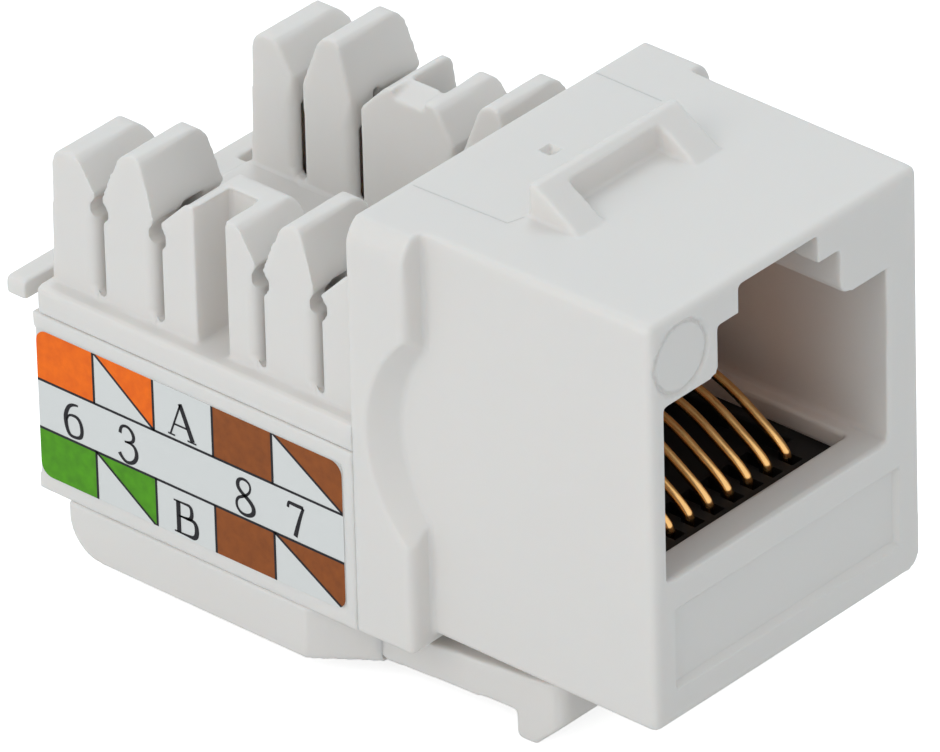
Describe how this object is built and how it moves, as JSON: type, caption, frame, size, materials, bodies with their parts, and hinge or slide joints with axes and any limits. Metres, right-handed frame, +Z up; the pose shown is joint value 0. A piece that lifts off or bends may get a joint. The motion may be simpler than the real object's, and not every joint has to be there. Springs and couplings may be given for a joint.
{
  "type": "keystone jack",
  "caption": "Snap-in modular data socket with spring contacts, a wire terminal block behind it and a sprung latch arm beneath.",
  "frame": {"origin": "middle of the front housing's lower front edge: x at the middle of the housing, y on the mating face, z on the housing's underside", "axes": "+X to the right seen from the front, +Y from the mating face back through the terminal block, +Z up"},
  "size_m": [0.016, 0.0284, 0.0205],
  "materials": {
    "white_plastic": "satin moulded",
    "black_plastic": "matt moulded",
    "gold_contact": "gold plated",
    "board": "solder mask",
    "tin_terminal": "tin plated",
    "label": "printed film"
  },
  "bodies": {
    "jack": {"front_housing": "white_plastic", "rear_body": "white_plastic", "terminal_block": "white_plastic", "bottom_cover": "white_plastic", "contact_insert": "black_plastic", "contact_1": "gold_contact", "contact_2": "gold_contact", "contact_3": "gold_contact", "contact_4": "gold_contact", "contact_5": "gold_contact", "contact_6": "gold_contact", "contact_7": "gold_contact", "contact_8": "gold_contact", "circuit_board": "board", "near_terminal_1": "tin_terminal", "near_terminal_2": "tin_terminal", "near_terminal_3": "tin_terminal", "near_terminal_4": "tin_terminal", "far_terminal_1": "tin_terminal", "far_terminal_2": "tin_terminal", "far_terminal_3": "tin_terminal", "far_terminal_4": "tin_terminal", "left_label": "label", "right_label": "label"},
    "latch": {"latch_arm": "white_plastic"}
  },
  "joints": [
    {"name": "latch_flex", "type": "hinge", "parent": "jack", "child": "latch", "pos_m": [0, 0.0127, -0.00176], "axis": [-1, 0, 0], "range_deg": [0, 4], "stiffness_Nm_per_rad": 0.25}
  ]
}
